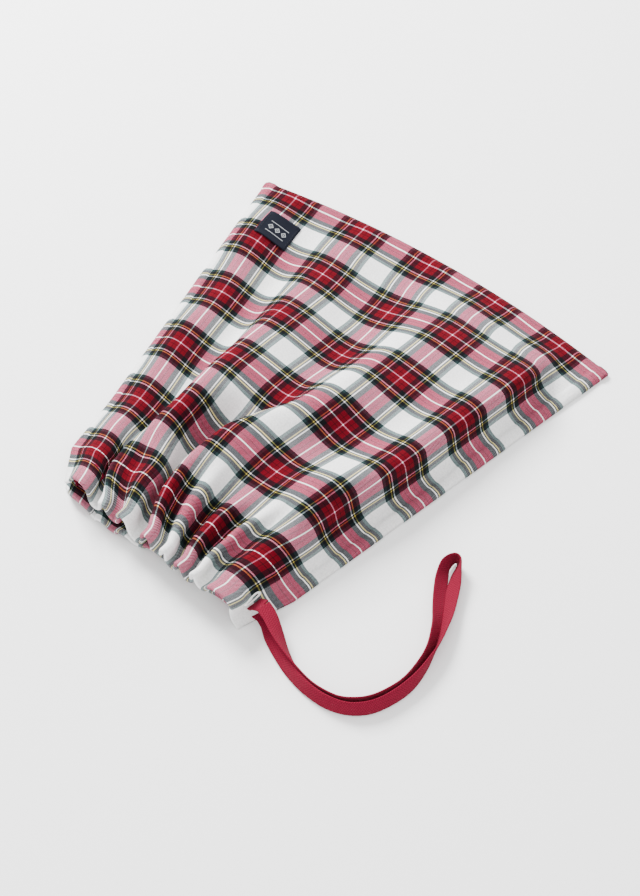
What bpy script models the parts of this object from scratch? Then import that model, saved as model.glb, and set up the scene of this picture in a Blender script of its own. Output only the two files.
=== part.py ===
"""A drawstring gift sack in yarn-dyed tartan twill, lying flat and empty, as a Blender model.

Run with: blender --background --python part.py

Metres, +Z up. X runs across the sack, the sewn bottom edge is at +Y and the gathered mouth at -Y.
The origin is on the floor under the middle of the sack. Each cloth ply is modelled at its own
height, with a small gap to the next, and every piece stands in an object of its own.
"""

import bpy
import bmesh
from math import cos, pi, radians, sin
from mathutils import Vector

# Driving dimensions
BOTTOM_HALF = 0.149          # half the flat width, at the bottom corners
MOUTH_HALF = 0.078           # half the width that the gathered casing takes
HALF_LENGTH = 0.160          # from the origin to the bottom edge and to the mouth
BOTTOM_BOW = 0.014           # how far the middle of the bottom edge stands out past its corners
CLOTH = 0.0008               # thickness of one ply of brushed cotton twill
GAP = 0.0003                 # air between pieces that touch
CASING_DEPTH = 0.030         # turned hem at the mouth, from the fold to its stitching
CHANNEL = 0.0026             # height of the tunnel that the tape runs in
MOUTH_GAPE = 0.0165          # open height between the two casings
SEAM_WIDTH = 0.007           # overlocked seam allowance
SEAM_HEIGHT = 0.0014
SWELL_LENGTH = 0.200         # from the bottom seam to where the sack has its full height
CROWN = 0.0055               # extra height of the long folds over the plain arch
FOLDS = 4                    # long folds across the front
TAPE_WIDTH = 0.010
TAPE_THICK = 0.0010
LABEL_WIDTH = 0.030
LABEL_HEIGHT = 0.027
LABEL_CENTRE = (-0.105, 0.106)
LABEL_TURN = 0.13            # the label's turn from square, in radians, as the cloth fans out there
THREAD = 0.0005

# Where the straight sides end and the cloth is drawn in to the casing
SIDE_END_Y = -0.112
SIDE_END_HALF = 0.0945

# Heights that follow from the dimensions
MOUTH_Y = -HALF_LENGTH
HEM_Y = MOUTH_Y + CASING_DEPTH
BACK_Z = CLOTH / 2
BACK_TURN_Z = BACK_Z + CLOTH + CHANNEL
FRONT_TURN_Z = BACK_TURN_Z + CLOTH + MOUTH_GAPE
FRONT_MOUTH_Z = FRONT_TURN_Z + CLOTH + CHANNEL
FRONT_SEAM_Z = CLOTH + GAP + SEAM_HEIGHT + GAP + CLOTH / 2
BACK_TAPE_Z = BACK_Z + (CLOTH + CHANNEL) / 2
FRONT_TAPE_Z = FRONT_TURN_Z + (CLOTH + CHANNEL) / 2

# The tape in its casings, and the swinging free loop
TAPE_Y = -0.148
RUN_FAR_X = -MOUTH_HALF - 0.0005
RUN_NEAR_X = 0.0800
LOOP_START_X = 0.0855
LOOP_PIVOT = (0.0845, TAPE_Y, 0.0)
FLAT = radians(90)

COLUMNS = 42
BODY_ROWS = 20

# Colours and surface values of the finishes: base colour, roughness, metallic
FINISHES = {
    "tartan_twill": ((0.45, 0.10, 0.12, 1.0), 0.90, 0.0),
    "overlock_thread": ((0.80, 0.78, 0.75, 1.0), 0.85, 0.0),
    "sewing_thread": ((0.85, 0.84, 0.82, 1.0), 0.70, 0.0),
    "navy_label": ((0.012, 0.020, 0.040, 1.0), 0.75, 0.0),
    "navy_thread": ((0.015, 0.022, 0.045, 1.0), 0.70, 0.0),
    "red_tape": ((0.40, 0.010, 0.030, 1.0), 0.85, 0.0),
}


def clear_scene():
    """Remove every object that the file opened with."""
    for old in list(bpy.data.objects):
        bpy.data.objects.remove(old, do_unlink=True)


def finish(name):
    """Return the named material, making it on first use."""
    material = bpy.data.materials.get(name)
    if material is None:
        colour, roughness, metallic = FINISHES[name]
        material = bpy.data.materials.new(name)
        material.use_nodes = True
        shader = material.node_tree.nodes["Principled BSDF"]
        shader.inputs["Base Color"].default_value = colour
        shader.inputs["Roughness"].default_value = roughness
        shader.inputs["Metallic"].default_value = metallic
        material.diffuse_color = colour
    return material


def smooth(value):
    """Ease a value from 0 to 1 with no corner at either end."""
    value = min(max(value, 0.0), 1.0)
    return value * value * (3 - 2 * value)


def half_width(y):
    """Half the sack's width at a place along its length."""
    if y <= HEM_Y:
        return MOUTH_HALF
    if y <= SIDE_END_Y:
        share = smooth((y - HEM_Y) / (SIDE_END_Y - HEM_Y))
        return MOUTH_HALF + (SIDE_END_HALF - MOUTH_HALF) * share
    corner_y = HALF_LENGTH - BOTTOM_BOW
    slope = (BOTTOM_HALF - SIDE_END_HALF) / (corner_y - SIDE_END_Y)
    return SIDE_END_HALF + slope * (y - SIDE_END_Y)


def bottom_edge(across):
    """Y of the bowed bottom edge; across runs from -1 at one corner to 1 at the other."""
    return HALF_LENGTH - BOTTOM_BOW * across * across


def plan(across, along):
    """The plan position of a point of the sack; along runs from 0 at the bottom to 1 at the hem stitching."""
    start = bottom_edge(across)
    y = start + (HEM_Y - start) * along
    corner_y = HALF_LENGTH - BOTTOM_BOW
    return across * half_width(min(y, corner_y)), y


def edge_height(y):
    """Height of the front ply along its side seams: it climbs onto the casings at the mouth."""
    climb = smooth((SIDE_END_Y + 0.014 - y) / 0.032)
    return FRONT_SEAM_Z + (FRONT_MOUTH_Z - FRONT_SEAM_Z) * climb


def edge_clearance(y):
    """Upright distance from the middle of the front ply to what lies under it, where its edge climbs."""
    slope = (edge_height(y - 0.001) - edge_height(y + 0.001)) / 0.002
    return (CLOTH / 2 + 1.3 * GAP) * (1 + slope * slope) ** 0.5


def front_height(x, y):
    """Height of the middle of the front ply."""
    across = x / half_width(min(y, HALF_LENGTH - BOTTOM_BOW))
    inside = half_width(y) * (1 - abs(across))
    below = bottom_edge(across) - y
    edge = edge_height(y)
    crest = FRONT_SEAM_Z + (FRONT_MOUTH_Z - FRONT_SEAM_Z) * smooth((below - SEAM_WIDTH) / SWELL_LENGTH)
    rise = smooth((inside - SEAM_WIDTH - 0.001) / 0.030)
    ridges = 0.5 - 0.5 * cos(2 * pi * FOLDS * (across + 1) / 2)
    swell = CROWN * ridges * smooth((below - 0.03) / 0.16) * smooth((inside - 0.006) / 0.020)
    return edge + (crest - edge) * rise + swell


def add_object(name, mesh_bm, material):
    """Turn a bmesh into a named object with its finish."""
    bmesh.ops.recalc_face_normals(mesh_bm, faces=mesh_bm.faces)
    mesh = bpy.data.meshes.new(name)
    mesh_bm.to_mesh(mesh)
    mesh_bm.free()
    mesh.materials.append(finish(material))
    piece = bpy.data.objects.new(name, mesh)
    bpy.context.collection.objects.link(piece)
    return piece


def sheet(name, rows, thickness, material, offset=0.0):
    """Make cloth from rows of points and give it thickness on both sides of them."""
    grid = bmesh.new()
    lines = [[grid.verts.new(point) for point in row] for row in rows]
    for near, far in zip(lines, lines[1:]):
        for i in range(len(near) - 1):
            grid.faces.new((near[i], near[i + 1], far[i + 1], far[i]))
    piece = add_object(name, grid, material)
    solid = piece.modifiers.new("cloth thickness", "SOLIDIFY")
    solid.thickness = thickness
    solid.offset = offset
    solid.use_even_offset = True
    return piece


def bar(name, sections, material):
    """Join a row of four-cornered sections into one closed bar."""
    body = bmesh.new()
    loops = [[body.verts.new(point) for point in section] for section in sections]
    for near, far in zip(loops, loops[1:]):
        for i in range(4):
            body.faces.new((near[i], near[(i + 1) % 4], far[(i + 1) % 4], far[i]))
    body.faces.new(loops[0])
    body.faces.new(loops[-1])
    return add_object(name, body, material)


def columns():
    """The places across the sack that its cloth is divided at."""
    return [2 * i / COLUMNS - 1 for i in range(COLUMNS + 1)]


def hem_path(outer_z, turn_z, end_z):
    """The turned hem as (y, z) points: from its stitching to the fold, round it and back inside."""
    radius = abs(outer_z - turn_z) / 2
    middle = (outer_z + turn_z) / 2
    side = 1 if outer_z > turn_z else -1
    flat = [HEM_Y + 0.25 * (MOUTH_Y - HEM_Y), HEM_Y + 0.6 * (MOUTH_Y - HEM_Y), MOUTH_Y]
    path = [(y, outer_z) for y in flat]
    for step in range(1, 5):
        angle = pi * step / 5
        path.append((MOUTH_Y - radius * sin(angle), middle + side * radius * cos(angle)))
    path += [(MOUTH_Y, turn_z), (MOUTH_Y + 0.011, turn_z), (HEM_Y - 0.008, turn_z),
             (HEM_Y - 0.004, end_z), (HEM_Y, end_z)]
    return path


def panel(name, height, hem):
    """One panel of the sack: its body at the given height, and its hem turned in at the mouth."""
    rows = []
    for j in range(BODY_ROWS + 1):
        places = [plan(across, j / BODY_ROWS) for across in columns()]
        rows.append([Vector((x, y, height(x, y))) for x, y in places])
    outer_z = hem[0][1]
    for y, z in hem:
        lift = [height(across * MOUTH_HALF, HEM_Y) - outer_z if z == outer_z else 0.0 for across in columns()]
        rows.append([Vector((a * MOUTH_HALF, y, z + up)) for a, up in zip(columns(), lift)])
    return sheet(name, rows, CLOTH, "tartan_twill")


def panels():
    """The front and back panels."""
    front_hem = hem_path(FRONT_MOUTH_Z, FRONT_TURN_Z, FRONT_MOUTH_Z - CLOTH - GAP)
    panel("front_panel", front_height, front_hem)
    back_hem = hem_path(BACK_Z, BACK_TURN_Z, BACK_Z + CLOTH + GAP)
    panel("back_panel", lambda x, y: BACK_Z, back_hem)


def side_seam(name, side):
    """The overlocked seam allowance of one side, between the two panels."""
    sections = []
    low = CLOTH + GAP
    corner_y = HALF_LENGTH - BOTTOM_BOW
    for j in range(BODY_ROWS + 1):
        y = corner_y - 0.001 + (HEM_Y + 0.0015 - corner_y) * j / BODY_ROWS
        outer = half_width(y)
        inner = outer - SEAM_WIDTH
        top = edge_height(y) - edge_clearance(y)
        section = [(side * x, y, z) for x, z in ((outer, low), (outer, top), (inner, top), (inner, low))]
        sections.append(section)
    return bar(name, sections, "overlock_thread")


def bottom_seam():
    """The overlocked seam allowance of the bottom edge, between the two panels."""
    sections = []
    low = CLOTH + GAP
    top = low + SEAM_HEIGHT
    for across in columns()[2:-2]:
        x, y = plan(across, 0)
        x *= 0.99
        sections.append([(x, y, low), (x, y, top), (x, y - SEAM_WIDTH, top), (x, y - SEAM_WIDTH, low)])
    return bar("bottom_seam", sections, "overlock_thread")


def casing_stitching(name, y, level, up):
    """A row of topstitching that holds a hem, lying on its outer ply."""
    sections = []
    for across in columns()[1:-1]:
        x = across * MOUTH_HALF
        low = level(x, y) + up * (CLOTH / 2 + GAP)
        high = low + up * THREAD
        sections.append([(x, y, low), (x, y, high), (x, y - THREAD, high), (x, y - THREAD, low)])
    return bar(name, sections, "sewing_thread")


def label_point(right, up):
    """Plan position of a point of the label, given from its centre; the label follows the cloth's fan."""
    turn = LABEL_TURN
    x = LABEL_CENTRE[0] + right * cos(turn) - up * sin(turn)
    y = LABEL_CENTRE[1] + right * sin(turn) + up * cos(turn)
    return x, y


def label():
    """The woven label, sewn to the front panel near a bottom corner, and its two rows of stitching."""
    steps = 8
    lift = CLOTH + GAP
    rows = []
    for j in range(steps + 1):
        up = LABEL_HEIGHT * (0.5 - j / steps)
        places = [label_point(LABEL_WIDTH * (i / steps - 0.5), up) for i in range(steps + 1)]
        rows.append([Vector((x, y, front_height(x, y) + lift)) for x, y in places])
    sheet("woven_label", rows, CLOTH, "navy_label")
    for name, side in (("label_stitching_left", -1), ("label_stitching_right", 1)):
        right = side * (LABEL_WIDTH / 2 - 0.002)
        sections = []
        for j in range(steps + 1):
            up = (LABEL_HEIGHT - 0.002) * (0.5 - j / steps)
            x, y = label_point(right, up)
            low = front_height(x, y) + lift + CLOTH / 2 + GAP
            high = low + THREAD
            sections.append([(x, y, low), (x, y, high), (x + THREAD, y, high), (x + THREAD, y, low)])
        bar(name, sections, "navy_thread")


def tape_run(name, z):
    """The straight stretch of tape inside one casing."""
    sections = []
    for x in (RUN_FAR_X, RUN_NEAR_X):
        low, high = z - TAPE_THICK / 2, z + TAPE_THICK / 2
        near, far = TAPE_Y - TAPE_WIDTH / 2, TAPE_Y + TAPE_WIDTH / 2
        sections.append([(x, near, low), (x, far, low), (x, far, high), (x, near, high)])
    return bar(name, sections, "red_tape")


def far_turn():
    """The tape's turn from one casing to the other, at the far end of the mouth."""
    radius = (FRONT_TAPE_Z - BACK_TAPE_Z) / 2
    middle = (FRONT_TAPE_Z + BACK_TAPE_Z) / 2
    near, far = TAPE_Y - TAPE_WIDTH / 2, TAPE_Y + TAPE_WIDTH / 2
    start = RUN_FAR_X - GAP
    sections = []
    for step in range(13):
        angle = pi * step / 12
        inner = (start - (radius - TAPE_THICK / 2) * sin(angle), middle + (radius - TAPE_THICK / 2) * cos(angle))
        outer = (start - (radius + TAPE_THICK / 2) * sin(angle), middle + (radius + TAPE_THICK / 2) * cos(angle))
        sections.append([(x, y, z) for (x, z), y in ((inner, near), (inner, far), (outer, far), (outer, near))])
    return bar("drawstring_far_turn", sections, "red_tape")


def bar_tack():
    """The dense row of stitches that closes the side seam where the tape comes out."""
    y = HEM_Y + 0.0006
    low = edge_height(y) + CLOTH / 2 + GAP
    high = low + THREAD
    sections = [[(x, y, low), (x, y, high), (x, y + 0.0015, high), (x, y + 0.0015, low)]
                for x in (MOUTH_HALF - 0.007, MOUTH_HALF - 0.001)]
    return bar("exit_bar_tack", sections, "sewing_thread")


# The free loop's route: (x, y, z of its centre, turn from standing on edge), from the front casing's
# end along the inner leg, round the eye and back along the outer leg to the back casing's end.
LOOP_ROUTE = (
    (LOOP_START_X, TAPE_Y, FRONT_TAPE_Z, FLAT), (0.0930, -0.1500, 0.0216, radians(80)),
    (0.1036, -0.1555, 0.0180, radians(50)), (0.1140, -0.1605, 0.0132, radians(22)),
    (0.1261, -0.1650, 0.0088, 0.0), (0.1385, -0.1675, 0.0062, 0.0),
    (0.1499, -0.1672, 0.0055, 0.0), (0.1600, -0.1645, 0.0055, 0.0),
    (0.1695, -0.1575, 0.0055, 0.0), (0.1765, -0.1465, 0.0055, 0.0),
    (0.1808, -0.1340, 0.0055, 0.0), (0.1813, -0.1190, 0.0055, 0.0),
    (0.1790, -0.1040, 0.0055, 0.0), (0.1750, -0.0905, 0.0055, 0.0),
    (0.1685, -0.0790, 0.0055, 0.0), (0.1600, -0.0680, 0.0055, 0.0),
    (0.1530, -0.0590, 0.0055, 0.0), (0.1490, -0.0500, 0.0055, 0.0),
    (0.1500, -0.0420, 0.0055, 0.0), (0.1560, -0.0425, 0.0055, 0.0),
    (0.1630, -0.0510, 0.0055, 0.0), (0.1685, -0.0610, 0.0055, 0.0),
    (0.1740, -0.0720, 0.0055, 0.0), (0.1790, -0.0840, 0.0055, 0.0),
    (0.1830, -0.0980, 0.0055, 0.0), (0.1855, -0.1130, 0.0055, 0.0),
    (0.1862, -0.1290, 0.0055, 0.0), (0.1835, -0.1440, 0.0055, 0.0),
    (0.1770, -0.1575, 0.0055, 0.0), (0.1665, -0.1670, 0.0055, 0.0),
    (0.1530, -0.1720, 0.0055, 0.0), (0.1380, -0.1720, 0.0055, 0.0),
    (0.1230, -0.1695, 0.0053, radians(-10)), (0.1110, -0.1650, 0.0042, radians(-50)),
    (0.0990, -0.1580, 0.0028, radians(-80)), (0.0915, -0.1510, BACK_TAPE_Z, -FLAT),
    (LOOP_START_X, TAPE_Y, BACK_TAPE_Z, -FLAT),
)
LOOP_STEPS = 2               # smaller steps between the route's points


def smooth_route(points, steps):
    """A smooth curve through the points, each point carrying all its values along."""
    ends = [points[0], *points, points[-1]]
    line = []
    for before, start, stop, after in zip(ends, ends[1:], ends[2:], ends[3:]):
        for step in range(steps):
            t = step / steps
            line.append([
                0.5 * (2 * b + (c - a) * t + (2 * a - 5 * b + 4 * c - d) * t ** 2
                       + (3 * b - 3 * c + d - a) * t ** 3)
                for a, b, c, d in zip(before, start, stop, after)])
    line.append(list(points[-1]))
    return line


def free_loop():
    """The doubled tape that hangs out of the casings, standing on its edge, as a flat curve."""
    curve = bpy.data.curves.new("drawstring_loop", "CURVE")
    curve.dimensions = "3D"
    curve.twist_mode = "Z_UP"
    curve.fill_mode = "FULL"
    curve.extrude = TAPE_WIDTH / 2 - TAPE_THICK / 2
    curve.bevel_depth = TAPE_THICK / 2
    curve.bevel_resolution = 2
    curve.use_fill_caps = True
    line = smooth_route(LOOP_ROUTE, LOOP_STEPS)
    spline = curve.splines.new("POLY")
    spline.points.add(len(line) - 1)
    pivot = Vector(LOOP_PIVOT)
    for point, (x, y, z, tilt) in zip(spline.points, line):
        point.co = (*(Vector((x, y, z)) - pivot), 1.0)
        point.tilt = tilt
    curve.materials.append(finish("red_tape"))
    piece = bpy.data.objects.new("drawstring_loop", curve)
    piece.location = pivot
    bpy.context.collection.objects.link(piece)
    return piece


def main():
    """Build every piece of the sack."""
    clear_scene()
    panels()
    side_seam("side_seam_left", -1)
    side_seam("side_seam_right", 1)
    bottom_seam()
    casing_stitching("front_casing_stitching", HEM_Y - 0.002, lambda x, y: front_height(x, HEM_Y), 1)
    casing_stitching("back_casing_stitching", HEM_Y - 0.002, lambda x, y: BACK_Z + CLOTH + GAP, 1)
    label()
    bar_tack()
    tape_run("drawstring_front_run", FRONT_TAPE_Z)
    tape_run("drawstring_back_run", BACK_TAPE_Z)
    far_turn()
    free_loop()


main()
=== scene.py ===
"""The looks of a drawstring gift sack in yarn-dyed tartan twill, lying empty on its back.

Metres, +Z up. X runs across the sack, +Y is the sewn bottom edge and -Y the gathered mouth.
The cloth is laid out in its own measures first: u across and v from the bottom edge, counted in
tartan repeats. A fold plan says where each long fold lies and how high it stands, and the cloth is
then laid along it at its true length, so that its pattern bends as the real cloth's does.
"""

import logging
from dataclasses import dataclass, field
from enum import Enum
from math import cos, pi, radians, sin
from typing import Any, Sequence

import bpy
import numpy as np
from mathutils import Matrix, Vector


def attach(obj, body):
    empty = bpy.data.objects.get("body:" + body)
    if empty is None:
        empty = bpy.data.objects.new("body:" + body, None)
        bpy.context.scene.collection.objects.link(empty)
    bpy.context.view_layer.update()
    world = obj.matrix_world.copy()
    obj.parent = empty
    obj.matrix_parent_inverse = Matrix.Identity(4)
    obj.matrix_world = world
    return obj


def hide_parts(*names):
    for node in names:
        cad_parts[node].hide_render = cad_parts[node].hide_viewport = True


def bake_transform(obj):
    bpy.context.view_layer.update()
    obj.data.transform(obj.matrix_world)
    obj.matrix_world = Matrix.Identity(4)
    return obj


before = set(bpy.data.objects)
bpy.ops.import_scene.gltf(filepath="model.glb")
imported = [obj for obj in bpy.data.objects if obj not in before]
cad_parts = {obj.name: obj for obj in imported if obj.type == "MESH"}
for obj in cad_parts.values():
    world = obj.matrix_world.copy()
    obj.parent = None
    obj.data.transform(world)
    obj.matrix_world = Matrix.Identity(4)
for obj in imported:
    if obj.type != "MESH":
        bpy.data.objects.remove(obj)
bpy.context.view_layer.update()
Colour = tuple[float, float, float]
LOG = logging.getLogger("gift_sack")

REPEAT = 0.0578              # one repeat of the tartan
HALF_CLOTH = 0.150 / REPEAT  # half the cloth's flat width, in repeats
CLOTH = 0.0008               # thickness of one ply
MOUTH_V = 5.70               # the fold at the mouth
STITCH_V = 5.14              # the casing's stitching
BAND_U = 0.081               # shift of the up-and-down bands from the middle
BAND_V = 0.14                # place of the first cross band above the bottom edge
BAND_SPREAD = 0.992          # the up-and-down bands stand this much closer than a repeat
MM = 0.001


# -------- curves and small helpers

def ease(value: np.ndarray | float) -> np.ndarray:
    """Go from 0 to 1 with no corner at either end."""
    value = np.clip(value, 0.0, 1.0)
    return value * value * (3 - 2 * value)


def through(xs: Sequence[float], ys: Sequence[float], at: np.ndarray) -> np.ndarray:
    """Read a smooth curve that passes through points and never overshoots them.

    Args:
        xs: The points' places, rising.
        ys: The points' values.
        at: The places to read.

    Returns:
        The curve's values there.
    """
    xs, ys = np.asarray(xs, float), np.asarray(ys, float)
    step, slope = np.diff(xs), np.diff(ys) / np.diff(xs)
    inner = np.zeros(len(xs))
    inner[0], inner[-1] = slope[0], slope[-1]
    same = slope[:-1] * slope[1:] > 0
    first, second = 2 * step[1:] + step[:-1], step[1:] + 2 * step[:-1]
    mean = (first + second) / (first / np.where(same, slope[:-1], 1) + second / np.where(same, slope[1:], 1))
    inner[1:-1] = np.where(same, mean, 0)
    k = np.clip(np.searchsorted(xs, at) - 1, 0, len(step) - 1)
    t, h = (at - xs[k]) / step[k], step[k]
    t2, t3 = t * t, t * t * t
    return ((2 * t3 - 3 * t2 + 1) * ys[k] + (t3 - 2 * t2 + t) * h * inner[k]
            + (3 * t2 - 2 * t3) * ys[k + 1] + (t3 - t2) * h * inner[k + 1])


def soften(values: np.ndarray, reach: int) -> np.ndarray:
    """Average a row of values over a smooth window, keeping its two ends."""
    window = np.hanning(2 * reach + 3)[1:-1]
    window /= window.sum()
    smooth = np.convolve(np.pad(values, reach, mode="edge"), window, mode="valid")
    share = ease(np.minimum(np.arange(len(values)), np.arange(len(values))[::-1]) / (2.0 * reach))
    return values + (smooth - values) * share


def mesh_object(name: str, points: np.ndarray, faces: list, uv: np.ndarray | None = None) -> bpy.types.Object:
    """Make an object from points and faces, with a place on the cloth for each point.

    Args:
        name: The object's name.
        points: One row of three values for each vertex.
        faces: Tuples of vertex numbers.
        uv: One pair for each vertex, or None.

    Returns:
        The new object.
    """
    mesh = bpy.data.meshes.new(name)
    mesh.from_pydata(points.tolist(), [], faces)
    if uv is not None:
        layer = mesh.uv_layers.new(name="cloth")
        corner = np.empty(len(mesh.loops), int)
        mesh.loops.foreach_get("vertex_index", corner)
        layer.data.foreach_set("uv", uv[corner].astype(np.float32).ravel())
    mesh.polygons.foreach_set("use_smooth", [True] * len(mesh.polygons))
    mesh.update()
    item = bpy.data.objects.new(name, mesh)
    bpy.context.scene.collection.objects.link(item)
    return item


def grid_object(name: str, points: np.ndarray, uv: np.ndarray, flip: bool = False) -> bpy.types.Object:
    """Make a sheet from rows of points.

    Args:
        name: The object's name.
        points: Rows by columns by three.
        uv: Rows by columns by two.
        flip: True turns its faces over.

    Returns:
        The new object.
    """
    rows, columns = points.shape[:2]
    first = (np.arange(rows - 1)[:, None] * columns + np.arange(columns - 1)[None]).ravel()
    quads = np.stack([first, first + 1, first + columns + 1, first + columns], -1)
    if flip:
        quads = quads[:, ::-1]
    return mesh_object(name, points.reshape(-1, 3), quads.tolist(), uv.reshape(-1, 2))


def clear_selection() -> None:
    """Select nothing."""
    for other in bpy.context.selected_objects:
        other.select_set(False)


def apply_modifiers(item: bpy.types.Object) -> None:
    """Apply all of an object's modifiers."""
    clear_selection()
    bpy.context.view_layer.objects.active = item
    item.select_set(True)
    for modifier in list(item.modifiers):
        bpy.ops.object.modifier_apply(modifier=modifier.name)
    item.select_set(False)


def thicken(item: bpy.types.Object, thickness: float) -> None:
    """Give a sheet its thickness, half on each side."""
    solid = item.modifiers.new("thickness", "SOLIDIFY")
    solid.thickness = thickness
    solid.offset = 0.0
    apply_modifiers(item)


# -------- materials

class Wire:
    """A socket in a material that takes part in Python expressions."""

    def __init__(self, paint: "Paint", socket: bpy.types.NodeSocket) -> None:
        """Keep the socket and the material it is in."""
        self.paint = paint
        self.socket = socket

    def _math(self, operation: str, *values: Any) -> "Wire":
        """Add a Math node."""
        return self.paint.node("ShaderNodeMath", {"operation": operation}, dict(enumerate(values)))

    def __add__(self, other: Any) -> "Wire":
        """Add."""
        return self._math("ADD", self, other)

    __radd__ = __add__

    def __sub__(self, other: Any) -> "Wire":
        """Take away."""
        return self._math("SUBTRACT", self, other)

    def __rsub__(self, other: Any) -> "Wire":
        """Take this away from a value."""
        return self._math("SUBTRACT", other, self)

    def __mul__(self, other: Any) -> "Wire":
        """Multiply."""
        return self._math("MULTIPLY", self, other)

    __rmul__ = __mul__

    def __truediv__(self, other: Any) -> "Wire":
        """Divide."""
        return self._math("DIVIDE", self, other)

    def __lt__(self, other: Any) -> "Wire":
        """1 where this is less."""
        return self._math("LESS_THAN", self, other)

    def floor(self) -> "Wire":
        """Whole part."""
        return self._math("FLOOR", self)

    def fraction(self) -> "Wire":
        """Part after the point."""
        return self._math("FRACT", self)

    def size(self) -> "Wire":
        """Value without its sign."""
        return self._math("ABSOLUTE", self)

    def wave(self) -> "Wire":
        """Sine."""
        return self._math("SINE", self)

    def most(self, other: Any) -> "Wire":
        """The larger of two."""
        return self._math("MAXIMUM", self, other)


class Paint:
    """A material under construction."""

    def __init__(self, name: str) -> None:
        """Start an empty material with one Principled shader."""
        self.material = bpy.data.materials.new(name)
        self.material.use_nodes = True
        self.tree = self.material.node_tree
        self.shader = self.tree.nodes["Principled BSDF"]

    def node(self, kind: str, settings: dict | None = None, inputs: dict | None = None,
             output: int | str = 0) -> Wire:
        """Add a node.

        Args:
            kind: The node's type.
            settings: Its properties; a ramp's stops are given as "stops".
            inputs: Its sockets' values or wires.
            output: The output to hand back.

        Returns:
            The wire from that output.
        """
        made = self.tree.nodes.new(kind)
        for key, value in (settings or {}).items():
            if key == "stops":
                self._stops(made.color_ramp, value)
            else:
                setattr(made, key, value)
        for key, value in (inputs or {}).items():
            self.feed(made.inputs[key], value)
        return Wire(self, made.outputs[output])

    @staticmethod
    def _stops(ramp: Any, stops: Sequence[tuple]) -> None:
        """Set a ramp's places and colours, each colour holding up to the next place."""
        ramp.interpolation = "CONSTANT"
        while len(ramp.elements) > 1:
            ramp.elements.remove(ramp.elements[-1])
        ramp.elements[0].position = stops[0][0]
        ramp.elements[0].color = (*stops[0][1], 1.0)
        for place, colour in stops[1:]:
            ramp.elements.new(place).color = (*colour, 1.0)

    def feed(self, socket: bpy.types.NodeSocket, value: Any) -> None:
        """Link a wire to a socket, or set the socket's value."""
        if isinstance(value, Wire):
            self.tree.links.new(value.socket, socket)
        else:
            socket.default_value = value

    def mix(self, share: Any, first: Any, second: Any) -> Wire:
        """Mix two colours."""
        return self.node("ShaderNodeMix", {"data_type": "RGBA"}, {0: share, 6: first, 7: second}, 2)

    def times(self, first: Any, second: Any) -> Wire:
        """Multiply two colours."""
        return self.node("ShaderNodeMix", {"data_type": "RGBA", "blend_type": "MULTIPLY"},
                         {0: 1.0, 6: first, 7: second}, 2)

    def cloth_place(self) -> tuple[Wire, Wire]:
        """The place on the cloth, as two wires."""
        uv = self.node("ShaderNodeUVMap", {"uv_map": "cloth"})
        parts = self.tree.nodes.new("ShaderNodeSeparateXYZ")
        self.feed(parts.inputs[0], uv)
        return Wire(self, parts.outputs[0]), Wire(self, parts.outputs[1])

    def noise(self, scale: float, detail: float = 2.0) -> Wire:
        """Soft noise in the object's own space."""
        place = self.node("ShaderNodeTexCoord", output="Object")
        return self.node("ShaderNodeTexNoise", {}, {"Vector": place, "Scale": scale, "Detail": detail})

    def finish(self, **sockets: Any) -> bpy.types.Material:
        """Set the shader's sockets, given with underscores for spaces."""
        for key, value in sockets.items():
            self.feed(self.shader.inputs[key.replace("_", " ")], value)
        return self.material

    def bump(self, height: Wire, strength: float, distance: float) -> Wire:
        """Turn a height into a bent normal."""
        return self.node("ShaderNodeBump", {}, {"Strength": strength, "Distance": distance, "Height": height})


def rgba(colour: Colour) -> tuple[float, float, float, float]:
    """A colour with full opacity."""
    return (*colour, 1.0)


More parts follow.
